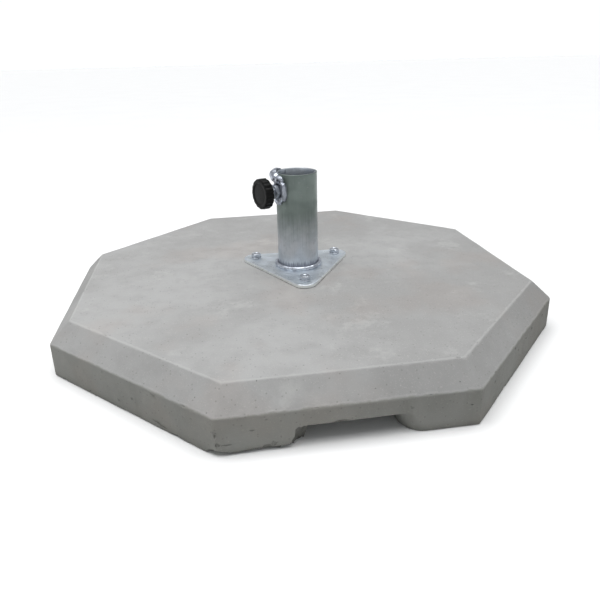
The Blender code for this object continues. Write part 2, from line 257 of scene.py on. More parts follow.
slabSet = {
    "sideHeight": 44 * mm,
    "chamferWidth": 25.5 * mm,
    "mergeGap": 0.01 * mm,
    "flatAngle": 0.5,  # degrees between faces that are one
    "gridStep": 11 * mm,
    "sideStep": 7.5 * mm,
    "gridMerge": 0.05 * mm,
    "wornFrom": 0.3 * mm,  # the underside stays flat
    "unevenSize": 45 * mm,
    "uneven": 0.9 * mm,
    "roughSize": 7 * mm,
    "rough": 0.28 * mm,
    "pits": 90,
    "nicks": 70,
    "pitSize": (0.7, 1.9),  # these are in millimetres, down to the foot nicks' height
    "pitHeight": (3, 41),
    "topNickSize": (1.0, 2.4),
    "bandNickSize": (1.0, 2.6),
    "footNickSize": (1.5, 3.5),
    "footNickHeight": (-1.0, 1.0),
    "pitAlong": 0.138,  # metres each way from the middle of a side
    "topShorter": 0.92,  # the top's arrises are shorter than the sides
    "pitGap": 12 * mm,
    "recessHalf": 0.09,  # no pits in the hand recesses
    "recessTop": 30 * mm,
    "seed": 11,
}
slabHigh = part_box("concrete_slab")[1]
bandTop = slabSet["sideHeight"]
halfFlats = slabHigh.x
topFlats = halfFlats - slabSet["chamferWidth"]

slabMesh = frame["nodes"]["concrete_slab"].data.copy()
slab = bpy.data.objects.new("slab_cast", slabMesh)
bpy.context.scene.collection.objects.link(slab)
slab.data.name = "slab_cast"
openEdit(slab)
bpy.ops.mesh.select_all(action="SELECT")
bpy.ops.mesh.customdata_custom_splitnormals_clear()
bpy.ops.mesh.remove_doubles(threshold=slabSet["mergeGap"])
bpy.ops.mesh.dissolve_limited(angle_limit=math.radians(slabSet["flatAngle"]))
closeEdit()


def stone(place, size, turnZ, seed):  # an uneven lump that breaks a chip out of the concrete
    bpy.ops.object.select_all(action="DESELECT")
    bpy.ops.mesh.primitive_ico_sphere_add(subdivisions=3, radius=1)
    lump = named("chip_tool")
    for corner in lump.data.vertices:
        push = noise.noise(corner.co * 1.7 + Vector((seed * 3.1, 0, 0)))
        corner.co *= 1 + 0.35 * push
    matrix = Matrix.Translation(place) @ Matrix.Rotation(turnZ, 4, "Z")
    matrix = matrix @ Matrix.Diagonal((*size, 1))
    return placed(lump, matrix)


# chips in millimetres: place, half sizes along the face, into it and up, and the face's
# direction in degrees
chips = [
    ((-203, -275.5, 39.5), (9.5, 3.0, 4.2), 225),
    ((-209, -269, 42.5), (5.5, 2.2, 2.6), 225),
    ((-201, -275, 7), (9, 1.8, 1.6), 225),
    ((-195, -281, 5.2), (7, 1.5, 1.4), 225),
    ((-180, -296, 0.6), (11, 3.0, 2.6), 225),
    ((-138, -337, -1.5), (21, 12, 8.5), 247),
    ((-153, -327, 1.0), (8, 4.0, 4.5), 225),
    ((-139.5, -336.5, 27), (3.0, 2.6, 5.0), 247),
    ((-137, -337, 14), (3.4, 2.4, 3.4), 247),
    ((-128, -337, 13), (6.5, 1.8, 1.8), 270),
    ((-88, -337, 3.0), (7, 5.0, 5.2), 270),
    ((-81, -337, 8.0), (3.4, 2.6, 3.4), 270),
    ((-66, -334, 0.0), (9, 8.0, 5.5), 285),
    ((-50, -336, 9.0), (12, 17, 16), 270),
    ((-100, -338, -1.0), (52, 7.0, 6.5), 270),
    ((-12, -336.5, 26.0), (8, 1.8, 1.2), 270),
    ((60, -337, 1.0), (7, 3.0, 2.2), 270),
    ((200, -277, 1.4), (7, 3.0, 2.6), 315),
    ((231, -245, 30), (2.6, 1.4, 1.8), 315),
    ((168, -308, 43.5), (4, 1.6, 1.6), 315),
    ((150, 328, 3), (12, 4, 4), 67),
    ((-336, 60, 2), (9, 3, 3), 180),
    ((336.5, 40, 20), (4, 1.6, 3), 0),
    ((260, 215, 43), (7, 2, 2.4), 45),
    ((-120, 337, 40), (6, 2.4, 2), 90),
]
for number, (place, size, facing) in enumerate(chips):
    turned = math.radians(facing + 90)
    lump = stone(Vector(place) * mm, Vector(size) * mm, turned, number)
    cutWith(slab, lump)
print("slab chipped:", len(chips))

# small air pits on the sides and small nicks along the arrises, all cut in one go
random.seed(slabSet["seed"])
pits = []
taken = [Vector(place) * mm for place, size, facing in chips]
for number in range(slabSet["pits"] + slabSet["nicks"]):
    side = random.randrange(8)
    facing = math.pi / 4 * side
    along = random.uniform(-slabSet["pitAlong"], slabSet["pitAlong"])
    isPit = number < slabSet["pits"]
    if isPit:
        radius = random.uniform(*slabSet["pitSize"]) * mm
        depth, height = halfFlats + radius * 0.25, random.uniform(*slabSet["pitHeight"]) * mm
    elif number % 3 == 0:
        radius = random.uniform(*slabSet["topNickSize"]) * mm
        along *= slabSet["topShorter"]
        depth, height = topFlats + radius * 0.25, slabHigh.z + radius * 0.35
    elif number % 3 == 1:
        radius = random.uniform(*slabSet["bandNickSize"]) * mm
        depth, height = halfFlats + radius * 0.5, bandTop + radius * 0.1
    else:
        radius = random.uniform(*slabSet["footNickSize"]) * mm
        depth = halfFlats + radius * 0.4
        height = random.uniform(*slabSet["footNickHeight"]) * mm
    x = depth * math.cos(facing) - along * math.sin(facing)
    y = depth * math.sin(facing) + along * math.cos(facing)
    size = (radius * random.uniform(1, 2.4), radius, radius * random.uniform(0.8, 1.2))
    inRecess = (side in (2, 6) and abs(along) < slabSet["recessHalf"]
                and height < slabSet["recessTop"])
    middle = Vector((x, y, height))
    if inRecess or any((middle - other).length < slabSet["pitGap"] for other in taken):
        continue
    taken.append(middle)
    bpy.ops.object.select_all(action="DESELECT")
    bpy.ops.mesh.primitive_ico_sphere_add(subdivisions=2, radius=1)
    matrix = Matrix.Translation(middle) @ Matrix.Rotation(facing + math.pi / 2, 4, "Z")
    pits.append(placed(named("pit_tool"), matrix @ Matrix.Diagonal((*size, 1))))
cutWith(slab, joined(pits))
print("slab pitted:", len(pits))

openEdit(slab)
cuts = math.ceil(halfFlats / slabSet["gridStep"])
for number in range(-cuts, cuts + 1):
    reach = (number + 0.5) * slabSet["gridStep"]
    for normal in ((1, 0, 0), (0, 1, 0)):
        bpy.ops.mesh.select_all(action="SELECT")
        bpy.ops.mesh.bisect(plane_co=Vector(normal) * reach, plane_no=normal)
for number in range(1, math.ceil(slabHigh.z / slabSet["sideStep"])):
    bpy.ops.mesh.select_all(action="SELECT")
    bpy.ops.mesh.bisect(plane_co=(0, 0, number * slabSet["sideStep"]), plane_no=(0, 0, 1))
bpy.ops.mesh.select_all(action="SELECT")
bpy.ops.mesh.remove_doubles(threshold=slabSet["gridMerge"])
closeEdit()
applied(slab, "TRIANGULATE", quad_method="BEAUTY", ngon_method="BEAUTY")
applied(slab, "SUBSURF", subdivision_type="SIMPLE", levels=1, render_levels=1)

worn = slab.vertex_groups.new(name="worn")
aboveFloor = [corner.index for corner in slab.data.vertices
              if corner.co.z > slabSet["wornFrom"]]
worn.add(aboveFloor, 1, "REPLACE")
for label in ("uneven", "rough"):
    pattern = bpy.data.textures.new("slab_" + label, "CLOUDS")
    pattern.noise_scale = slabSet[label + "Size"]
    pattern.noise_depth = 2
    applied(slab, "DISPLACE", texture=pattern, strength=slabSet[label], mid_level=0.5,
            texture_coords="LOCAL", vertex_group="worn")
smooth(slab, 28)
print("slab cast:", len(slab.data.polygons), "faces")


# concrete finish

concreteSet = {
    "light": (0.334, 0.334, 0.331),
    "dark": (0.272, 0.271, 0.267),
    "stain": (0.205, 0.203, 0.190),
    "sand": (0.42, 0.41, 0.395),
    "grit": (0.17, 0.168, 0.162),
    # painted shade inside the pores
    "poreShade": (0.100, 0.098, 0.092),
    "worn": (0.43, 0.43, 0.42),
    "warm": (1.0, 0.968, 0.952),
    "side": (0.672, 0.676, 0.636),  # painted shade: the upright sides and the slope are darkened for the shade they stand in
    "slopeShade": (0.86, 0.86, 0.855),
    "roughness": 0.93,
    "gloss": 0.35,
    "broadScale": 4.2,
    "warmScale": 7,
    "laitanceScale": 13,
    "marksScale": 26,
    "mottleScale": 34,
    "breakUpScale": 70,
    "gritScale": 260,
    "grainScale": 620,
    "pores": ((150, 0.11, 0.93), (61, 0.055, 0.86)),  # scale, width and how many are left out
}


def concreteFinish():
    made = newMaterial("castConcrete", concreteSet["light"], concreteSet["roughness"])
    tree = made.node_tree
    place = objectPlace(tree)
    tall = objectPlace(tree, stretch=(1, 1, 0.22))
    split = addNode(tree, "SeparateXYZ", {0: place}).outputs
    height = split[2]

    # the octagon's reach from the middle, for the wear on its arrises
    absX, absY = calc(tree, "ABSOLUTE", split[0]), calc(tree, "ABSOLUTE", split[1])
    slanted = calc(tree, "MULTIPLY", calc(tree, "ADD", absX, absY), math.sqrt(0.5))
    reach = calc(tree, "MAXIMUM", calc(tree, "MAXIMUM", absX, absY), slanted)
    breakUp = cloud(tree, place, concreteSet["breakUpScale"], 4, 0.65)
    ragged = calc(tree, "MULTIPLY", calc(tree, "SUBTRACT", breakUp, 0.5), 5 * mm)
    fromBand = calc(tree, "ABSOLUTE", calc(tree, "SUBTRACT", height, bandTop))
    onBand = between(tree, calc(tree, "ADD", fromBand, ragged), 2.6 * mm, 0.8 * mm)
    fromTop = calc(tree, "ABSOLUTE", calc(tree, "SUBTRACT", reach, topFlats))
    onTop = between(tree, calc(tree, "ADD", fromTop, ragged), 2.4 * mm, 0.6 * mm)
    onTop = calc(tree, "MULTIPLY", onTop, between(tree, height, 60 * mm, 66 * mm))
    onBand = calc(tree, "MULTIPLY", onBand, between(tree, reach, 325 * mm, 331 * mm))
    arris = calc(tree, "MAXIMUM", onBand, onTop)

    # broad clouds, mottling, rain marks down the sides, and a darker band along the foot
    broad = between(tree, cloud(tree, place, concreteSet["broadScale"], 5, 0.6), 0.36, 0.66)
    colour = blended(tree, broad, concreteSet["light"], concreteSet["dark"])
    patches = cloud(tree, place, concreteSet["mottleScale"], 6, 0.7)
    mottle = between(tree, patches, 0.42, 0.72, 0, 0.42)
    colour = blended(tree, mottle, colour, concreteSet["dark"])
    marks = cloud(tree, tall, concreteSet["marksScale"], 4, 0.6)
    marks = between(tree, marks, 0.54, 0.74, 0, 0.5)
    belowBand = between(tree, height, 47 * mm, 40 * mm)
    marks = calc(tree, "MULTIPLY", marks, belowBand)
    colour = blended(tree, marks, colour, concreteSet["stain"])
    footDarkening = between(tree, calc(tree, "ADD", height, ragged), 11 * mm, 1 * mm, 0, 0.4)
    colour = blended(tree, footDarkening, colour, concreteSet["stain"])
    laitance = cloud(tree, place, concreteSet["laitanceScale"], 6, 0.72)
    laitance = between(tree, laitance, 0.56, 0.70, 0, 0.35)
    colour = blended(tree, laitance, colour, concreteSet["worn"])

    # sand and grit in the face, at the size of real grains
    grain = cloud(tree, place, concreteSet["grainScale"], 2, 0.6)
    sand = between(tree, grain, 0.58, 0.74, 0, 0.55)
    colour = blended(tree, sand, colour, concreteSet["sand"])
    gritCells = cells(tree, place, concreteSet["gritScale"])
    gritColour = cells(tree, place, concreteSet["gritScale"], "Color")
    gritPick = addNode(tree, "SeparateColor", {0: gritColour}).outputs[0]
    grit = calc(tree, "MULTIPLY", between(tree, gritCells, 0.30, 0.16),
                between(tree, gritPick, 0.80, 0.84))
    colour = blended(tree, calc(tree, "MULTIPLY", grit, 0.5), colour, concreteSet["grit"])

    # pores of two sizes
    poreMask = 0.0
    for scale, width, share in concreteSet["pores"]:
        far = cells(tree, place, scale)
        cellColour = cells(tree, place, scale, "Color")
        chance = addNode(tree, "SeparateColor", {0: cellColour}).outputs[1]
        one = calc(tree, "MULTIPLY", between(tree, far, width, width * 0.5),
                   between(tree, chance, share, share + 0.02))
        poreMask = calc(tree, "MAXIMUM", one, poreMask)
    # painted shade: the pores are darkened for the shade inside them
    colour = blended(tree, calc(tree, "MULTIPLY", poreMask, 0.6), colour, concreteSet["poreShade"])
    colour = blended(tree, calc(tree, "MULTIPLY", arris, 0.30), colour, concreteSet["worn"])

    # warmer patches, and painted shade darkening the slope and the upright sides
    rusty = cloud(tree, objectPlace(tree, shift=(3, 5, 1)), concreteSet["warmScale"], 3)
    rusty = between(tree, rusty, 0.50, 0.64)
    colour = blended(tree, rusty, colour, concreteSet["warm"], "MULTIPLY")
    # painted shade: the slope's colour is darkened
    paintedSlopeShade = between(tree, height, 68.6 * mm, 67.6 * mm)
    colour = blended(tree, paintedSlopeShade, colour, concreteSet["slopeShade"], "MULTIPLY")
    # painted shade: the upright sides' colour is darkened
    paintedSideShade = between(tree, calc(tree, "ADD", height, ragged), 45.5 * mm, 42.5 * mm)
    colour = blended(tree, paintedSideShade, colour, concreteSet["side"], "MULTIPLY")

    normal = raised(tree, patches, 1.2 * mm, 0.5)
    normal = raised(tree, cloud(tree, place, 210, 4, 0.7), 0.5 * mm, 0.6, normal)
    normal = raised(tree, grain, 0.25 * mm, 0.6, normal)
    normal = raised(tree, calc(tree, "SUBTRACT", 1.0, poreMask), 0.9 * mm, 0.9, normal)
    rough = between(tree, mottle, 0, 0.4, 0.90, 0.97)
    finishWith(tree, Base_Color=colour, Roughness=rough, Normal=normal)
    gloss = tree.nodes["Principled BSDF"].inputs["Specular IOR Level"]
    gloss.default_value = concreteSet["gloss"]
    return made


settle(slab, concreteFinish(), "base", "cast_concrete", "concrete_slab")
print("slab finished")


# plated steel finish

def platedSteel(name, look):
    made = newMaterial(name, look["bright"], 0.4, 1.0)
    tree = made.node_tree
    place = objectPlace(tree)
    drawn = objectPlace(tree, stretch=look["drawn"])
    clouds = between(tree, cloud(tree, place, look["cloud"], 4, 0.6), 0.38, 0.64)
    colour = blended(tree, clouds, look["bright"], look["dull"])
    streaks = cloud(tree, drawn, 1, 3, 0.6)
    colour = blended(tree, between(tree, streaks, 0.45, 0.75, 0, 0.45), colour, look["dull"])
    if "edge" in look:  # painted highlight: the plate's side is given a brighter colour for the bright line along its edge
        height = addNode(tree, "SeparateXYZ", {0: place}).outputs[2]
        lower = between(tree, height, look["edgeHighlightTop"], look["edgeHighlightTop"] - 0.5 * mm)
        colour = blended(tree, calc(tree, "MULTIPLY", lower, 0.8), colour, look["edge"])
    if "dark" in look:  # painted reflection: the upper part outside is darkened for the dark surroundings it reflects
        x, y, height = addNode(tree, "SeparateXYZ", {0: place}).outputs
        ragged = calc(tree, "MULTIPLY", calc(tree, "SUBTRACT", streaks, 0.5), 30 * mm)
        height = calc(tree, "ADD", height, ragged)
        paintedReflectionMask = between(tree, height, look["darkFrom"], look["darkTo"])
        reach = calc(tree, "SQRT", calc(tree, "ADD", calc(tree, "MULTIPLY", x, x),
                                        calc(tree, "MULTIPLY", y, y)))
        paintedReflectionMask = calc(tree, "MULTIPLY", paintedReflectionMask, between(tree, reach, *look["wall"]))
        colour = blended(tree, paintedReflectionMask, colour, look["dark"])
        tint = between(tree, height, look["heatTo"], look["heatFrom"], 0, 0.7)
        colour = blended(tree, tint, colour, look["heat"])  # heat tint beside the foot weld
    stains = between(tree, cloud(tree, place, 150, 5, 0.7), 0.60, 0.70, 0, 0.5)
    colour = blended(tree, stains, colour, look["stain"])
    speck = between(tree, cells(tree, place, 420), 0.10, 0.05, 0, 0.5)
    colour = blended(tree, speck, colour, look["stain"])
    low, high = look["roughness"]
    rough = calc(tree, "ADD", between(tree, clouds, 0, 1, low, high),
                 between(tree, streaks, 0.4, 0.7, -0.05, 0.05))
    normal = raised(tree, streaks, 0.04 * mm, 0.6)
    normal = raised(tree, cloud(tree, place, 480, 3, 0.6), 0.05 * mm, 0.6, normal)
    normal = raised(tree, cloud(tree, place, 60, 2, 0.5), 0.25 * mm, 0.4, normal)
    finishWith(tree, Base_Color=colour, Roughness=rough, Normal=normal)
    return made


tubeLook = {
    "bright": (0.62, 0.65, 0.69), "dull": (0.50, 0.53, 0.56), "stain": (0.25, 0.26, 0.27),
    # painted reflection: the dark colour darkens the tube's upper part outside
    "dark": (0.160, 0.190, 0.176), "darkFrom": 100 * mm, "darkTo": 165 * mm,
    "wall": (27.6 * mm, 28.4 * mm),
    "heat": (0.20, 0.21, 0.27), "heatFrom": 80 * mm, "heatTo": 86 * mm,
    "drawn": (900, 900, 14), "cloud": 45, "roughness": (0.34, 0.50),
}
plateLook = {
    "bright": (0.84, 0.89, 0.93), "dull": (0.68, 0.73, 0.78), "stain": (0.42, 0.45, 0.50),
    "drawn": (30, 500, 500), "cloud": 55, "roughness": (0.32, 0.48),
    # painted highlight: the edge colour brightens the plate's side
    "edge": (0.97, 1.0, 0.98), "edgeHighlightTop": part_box("socket_tube")[0].z - 0.9 * mm,
}
fixingLook = {
    "bright": (0.72, 0.75, 0.80), "dull": (0.52, 0.55, 0.60), "stain": (0.22, 0.22, 0.22),
    "drawn": (700, 700, 60), "cloud": 110, "roughness": (0.24, 0.38),
}
weldLook = {
    "bright": (0.62, 0.66, 0.72), "dull": (0.36, 0.38, 0.43), "stain": (0.16, 0.16, 0.17),
    "drawn": (300, 300, 300), "cloud": 130, "roughness": (0.34, 0.54),
}
heavyWeldLook = {
    "bright": (0.50, 0.53, 0.60), "dull": (0.27, 0.29, 0.32), "stain": (0.14, 0.15, 0.15),
    "drawn": (160, 160, 160), "cloud": 60, "roughness": (0.36, 0.56),
}
# painted shade: the nut gets a darker steel than the other fixings for the shade between the
# knob and the tube
nutShadeLook = {
    "bright": (0.42, 0.45, 0.50), "dull": (0.26, 0.28, 0.31), "stain": (0.15, 0.16, 0.17),
    "drawn": (300, 300, 300), "cloud": 90, "roughness": (0.36, 0.52),
}
anchorLook = {
    "bright": (0.46, 0.47, 0.48), "dull": (0.34, 0.34, 0.34), "stain": (0.24, 0.17, 0.12),
    "drawn": (200, 200, 900), "cloud": 90, "roughness": (0.38, 0.55),
}
tubeFinish = platedSteel("drawnZincTube", tubeLook)
plateFinish = platedSteel("zincPlate", plateLook)
fixingFinish = platedSteel("brightZincFixings", fixingLook)
weldFinish = platedSteel("platedWeld", weldLook)
heavyWeldFinish = platedSteel("dullPlatedWeld", heavyWeldLook)
nutShadeFinish = platedSteel("dullZincNut", nutShadeLook)
anchorFinish = platedSteel("anchorSteel", anchorLook)
for number in (1, 2, 3):
    for holder in frame["nodes"][f"cast_sleeve_{number}"].material_slots:
        holder.material = anchorFinish
print("steel finishes mixed")


# base plate

plateSet = {"corner": 17 * mm, "arc": 90, "edge": 0.7 * mm, "hole": 4.5 * mm,
            "flatAngle": 0.5, "disc": 27 * mm, "discHeight": 1 * mm, "discEdge": 0.3 * mm,
            "tubeGap": 0.3 * mm}
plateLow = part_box("base_plate")[0]
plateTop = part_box("socket_tube")[0].z - plateSet["tubeGap"]
boltPlaces = []
for number in (1, 2, 3):
    low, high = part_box(f"plate_bolt_{number}")
    boltPlaces.append(Vector(((low.x + high.x) / 2, (low.y + high.y) / 2, 0)))
firstCorner = math.atan2(boltPlaces[0].y, boltPlaces[0].x)
cornerReach = -(plateLow.y + plateSet["corner"]) / math.cos(firstCorner + math.pi / 2)
discs = []
for number in range(3):  # a round disc at each corner, then one skin stretched round all three
    bpy.ops.object.select_all(action="DESELECT")
    turnZ = firstCorner + math.tau / 3 * number
    bpy.ops.mesh.primitive_cylinder_add(
        vertices=plateSet["arc"], radius=plateSet["corner"], depth=plateTop - plateLow.z,
        location=(cornerReach * math.cos(turnZ), cornerReach * math.sin(turnZ),
                  (plateTop + plateLow.z) / 2), rotation=(0, 0, turnZ))
    discs.append(named("plate_steel"))
    fixPlace(discs[-1])
plate = joined(discs)
openEdit(plate, "EDGE")
bpy.ops.mesh.select_all(action="SELECT")
bpy.ops.mesh.convex_hull(join_triangles=True)
bpy.ops.mesh.select_all(action="SELECT")
bpy.ops.mesh.dissolve_limited(angle_limit=math.radians(plateSet["flatAngle"]))
pick(plate, "edges", lambda e: isLevel(e, plateTop) or isLevel(e, plateLow.z))
bpy.ops.mesh.bevel(offset=plateSet["edge"], segments=3, profile=0.5)
closeEdit()
for place in boltPlaces:
    bpy.ops.object.select_all(action="DESELECT")
    bpy.ops.mesh.primitive_cylinder_add(
        vertices=48, radius=plateSet["hole"], depth=20 * mm,
        location=(place.x, place.y, plateTop))
    cutWith(plate, named("drill"))
bpy.ops.object.select_all(action="DESELECT")
bpy.ops.mesh.primitive_cylinder_add(
    vertices=96, radius=plateSet["disc"], depth=plateSet["discHeight"] + 2 * mm,
    location=(0, 0, plateTop + plateSet["discHeight"] / 2 - mm))
disc = named("disc")
fixPlace(disc)
openEdit(disc)
pick(disc, "faces", lambda f: f.normal.z > 0.9)
bpy.ops.mesh.bevel(offset=plateSet["discEdge"], segments=2)
closeEdit()
cutWith(plate, disc, "UNION")
smooth(plate, 40)
settle(plate, plateFinish, "base", "zinc_plated_steel", "base_plate")
print("plate made:", [round(v / mm, 2) for v in plate.dimensions])


# pole socket

tubeSet = {"sides": 160, "wall": 2.9 * mm, "rim": 0.55 * mm, "screwHole": 6.5 * mm,
           "ringStep": 1.5 * mm, "rings": 6,  # level cuts each side of the screw
           "seamTurn": 118, "seamWidth": 2.2 * mm, "seamHeight": 0.45 * mm,
           "seamEdge": 0.4 * mm, "seamStep": 3.1 * mm, "seamSteps": 43,
           "ridgeSize": 5 * mm, "ridge": 0.25 * mm}
tubeLow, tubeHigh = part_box("socket_tube")
tubeRadius = tubeHigh.x
bore = tubeRadius - tubeSet["wall"]
turnJoint = next(joint for joint in frame["joints"] if joint["name"] == "knob_turn")
outward = -Vector(turnJoint["axis"]).normalized()
screwHeight = turnJoint["pos_m"][2]
screwAxis = Matrix((
    (-outward.y, 0, outward.x, 0), (outward.x, 0, outward.y, 0), (0, 1, 0, screwHeight),
    (0, 0, 0, 1)))  # local Z points outwards along the screw, local Y up

bpy.ops.object.select_all(action="DESELECT")
bpy.ops.mesh.primitive_cylinder_add(
    vertices=tubeSet["sides"], radius=tubeRadius, depth=tubeHigh.z - tubeLow.z,
    location=(0, 0, (tubeHigh.z + tubeLow.z) / 2))
tube = named("socket_pipe")
fixPlace(tube)
openEdit(tube)
pick(tube, "faces", lambda f: abs(f.normal.z) > 0.9)
bpy.ops.mesh.inset(thickness=tubeSet["wall"], use_individual=True)
bpy.ops.mesh.bridge_edge_loops()
bpy.ops.mesh.select_mode(type="EDGE")
pick(tube, "edges", lambda e: isRing(e) and (isLevel(e, tubeHigh.z) or isLevel(e, tubeLow.z)))
bpy.ops.mesh.bevel(offset=tubeSet["rim"], segments=3, profile=0.5)
for number in range(-tubeSet["rings"], tubeSet["rings"] + 1):
    bpy.ops.mesh.select_all(action="SELECT")
    cutHeight = screwHeight + number * tubeSet["ringStep"]
    bpy.ops.mesh.bisect(plane_co=(0, 0, cutHeight), plane_no=(0, 0, 1))
closeEdit()
bpy.ops.object.select_all(action="DESELECT")
bpy.ops.mesh.primitive_cylinder_add(
    vertices=64, radius=tubeSet["screwHole"], depth=20 * mm, location=(0, 0, tubeRadius))
cutWith(tube, placed(named("screw_drill"), screwAxis))
smooth(tube, 35)
settle(tube, tubeFinish, "base", "zinc_plated_steel", "socket_tube")

# the pipe's own seam, a low ridge down the inside
bpy.ops.object.select_all(action="DESELECT")
bpy.ops.mesh.primitive_cube_add(size=1)
seam = named("pipe_seam")
seam.scale = (tubeSet["seamWidth"], 2 * tubeSet["seamHeight"], tubeHigh.z - tubeLow.z - 4 * mm)
seam.location = (0, bore, (tubeHigh.z + tubeLow.z) / 2)
fixPlace(seam)
openEdit(seam, "EDGE")
pick(seam, "edges", lambda e: abs(e.verts[0].co.z - e.verts[1].co.z) > mm)
bpy.ops.mesh.bevel(offset=tubeSet["seamEdge"], segments=3)
for number in range(1, tubeSet["seamSteps"] + 1):
    bpy.ops.mesh.select_all(action="SELECT")
    cutHeight = tubeLow.z + number * tubeSet["seamStep"]
    bpy.ops.mesh.bisect(plane_co=(0, 0, cutHeight), plane_no=(0, 0, 1))
closeEdit()
ridge = bpy.data.textures.new("seam_ridge", "CLOUDS")
ridge.noise_scale = tubeSet["ridgeSize"]
applied(seam, "DISPLACE", texture=ridge, strength=tubeSet["ridge"], mid_level=0.5,
        texture_coords="LOCAL")
placed(seam, Matrix.Rotation(math.radians(tubeSet["seamTurn"] - 90), 4, "Z"))
smooth(seam, 50)
settle(seam, tubeFinish, "base", "zinc_plated_steel")
print("tube drawn")


# welds

weldSet = {"bead": 3.3 * mm, "sunk": 0.62, "steps": 300, "ripples": 46, "ripple": 0.22 * mm,
           "lag": 2.2, "wander": 0.55 * mm}
weldSunk = weldSet["bead"] * weldSet["sunk"]
bpy.ops.object.select_all(action="DESELECT")
bpy.ops.mesh.primitive_torus_add(
    major_radius=tubeRadius + weldSunk, minor_radius=weldSet["bead"],
    major_segments=weldSet["steps"], minor_segments=20, location=(0, 0, plateTop + weldSunk))
bead = named("foot_weld")
fixPlace(bead)
for corner in bead.data.vertices:
    bearing = math.atan2(corner.co.y, corner.co.x)
    reach = math.hypot(corner.co.x, corner.co.y)
    lift = corner.co.z - plateTop
    bow = weldSet["lag"] * (reach - tubeRadius - lift) / weldSet["bead"]
    swell = weldSet["ripple"] * (abs(math.sin(bearing * weldSet["ripples"] + bow)) - 0.5)
    sample = Vector((math.cos(bearing), math.sin(bearing), 0)) * 5
    swell += weldSet["wander"] * noise.noise(sample)
    reach = max(reach + swell, tubeRadius - 0.1 * mm)
    lift = max(lift + swell, -0.1 * mm)
    corner.co = (reach * math.cos(bearing), reach * math.sin(bearing), plateTop + lift)
smooth(bead, 60)
settle(bead, weldFinish, "base", "weld_metal", "tube_weld")

# the weld round the clamp nut, run on in lumps: each is a turn round the tube from the screw in
# degrees, a height over the screw and half sizes along, up and out, in millimetres
skirtSet = {"runs": 26, "wide": 11.6 * mm, "tall": 13.4, "higher": 0.6, "run": 3.6,
            "thin": 3.4, "thicker": 1.5, "proud": 0.6 * mm, "voxel": 0.5 * mm,
            "smoothing": 45, "rootReach": 29.2 * mm, "lumpSize": 5 * mm, "lumps": 0.5 * mm}
ring = []
for step in range(skirtSet["runs"]):
    bearing = math.tau * step / skirtSet["runs"]
    sideways = -math.cos(bearing) * skirtSet["wide"] / tubeRadius
    thick = skirtSet["thin"] + skirtSet["thicker"] * max(0, math.cos(bearing))
    ring.append((math.degrees(math.asin(sideways)),
                 math.sin(bearing) * skirtSet["tall"] + skirtSet["higher"],
                 (skirtSet["run"], skirtSet["run"], thick)))
heavy = [
    (-2, 17.2, (10.0, 6.0, 5.4)), (18, 18.8, (11.0, 7.6, 8.0)), (36, 20.4, (11.0, 8.2, 8.6)),
    (53, 21.2, (9.5, 7.6, 7.4)), (66, 21.2, (7.5, 6.2, 5.2)), (3, -14.5, (9.0, 6.0, 4.8)),
    (-21, 4.0, (4.4, 10.0, 6.4)), (-22, -4.0, (4.4, 10.0, 6.4)),
]
runs = []
for degrees, height, halves in ring + heavy:
    bearing = math.radians(degrees)
    reach = tubeRadius + skirtSet["proud"]
    bpy.ops.object.select_all(action="DESELECT")
    bpy.ops.mesh.primitive_uv_sphere_add(
        segments=24, ring_count=12, radius=mm, rotation=(0, -bearing, 0),
        location=(-math.sin(bearing) * reach, height * mm, math.cos(bearing) * reach))
    run = named("run")
    run.scale = halves
    fixPlace(run)
    runs.append(run)
skirt = joined(runs)
skirt.name = skirt.data.name = "nut_weld_bead"
applied(skirt, "REMESH", mode="VOXEL", voxel_size=skirtSet["voxel"])
applied(skirt, "SMOOTH", factor=0.5, iterations=skirtSet["smoothing"])
for corner in skirt.data.vertices:
    reach = math.hypot(corner.co.x, corner.co.z)
    if reach < skirtSet["rootReach"]:  # kept out of the bore
        corner.co.x *= skirtSet["rootReach"] / reach
        corner.co.z *= skirtSet["rootReach"] / reach
lumps = bpy.data.textures.new("weld_lumps", "CLOUDS")
lumps.noise_scale = skirtSet["lumpSize"]
lumps.noise_depth = 1
applied(skirt, "DISPLACE", texture=lumps, strength=skirtSet["lumps"], mid_level=0.5,
        texture_coords="LOCAL")
placed(skirt, screwAxis)
smooth(skirt, 70)
settle(skirt, heavyWeldFinish, "base", "weld_metal", "nut_weld")
print("welds laid")


# clamp nut

nutSet = {"flats": 19 * mm, "start": 30.6 * mm, "end": 40.6 * mm, "bore": 6.15 * mm,
          "turned": 0.62, "chamfer": 2.3 * mm, "edge": 0.25 * mm}
nutMiddle = (0, 0, (nutSet["start"] + nutSet["end"]) / 2)
bpy.ops.object.select_all(action="DESELECT")
bpy.ops.mesh.primitive_cylinder_add(
    vertices=6, radius=nutSet["flats"] / 2 / math.cos(math.pi / 6),
    depth=nutSet["end"] - nutSet["start"], location=nutMiddle, rotation=(0, 0, math.pi / 6))
nut = named("nut_steel")
fixPlace(nut)
bpy.ops.object.select_all(action="DESELECT")
bpy.ops.mesh.primitive_cylinder_add(
    vertices=96, radius=nutSet["flats"] * nutSet["turned"],
    depth=nutSet["end"] - nutSet["start"] + 0.02 * mm, location=nutMiddle)
turned = named("nut_turning")
fixPlace(turned)
openEdit(turned)
pick(turned, "faces", lambda f: f.normal.z > 0.9)
bpy.ops.mesh.bevel(offset=nutSet["chamfer"], segments=1)
closeEdit()
cutWith(nut, turned, "INTERSECT")
bpy.ops.object.select_all(action="DESELECT")
bpy.ops.mesh.primitive_cylinder_add(
    vertices=64, radius=nutSet["bore"], depth=30 * mm, location=(0, 0, nutSet["end"]))
cutWith(nut, named("nut_drill"))
applied(nut, "BEVEL", width=nutSet["edge"], segments=2, limit_method="ANGLE",
        angle_limit=math.radians(28))
placed(nut, screwAxis)
smooth(nut, 35)
settle(nut, nutShadeFinish, "base", "bright_zinc", "clamp_nut")


# washers and bolts

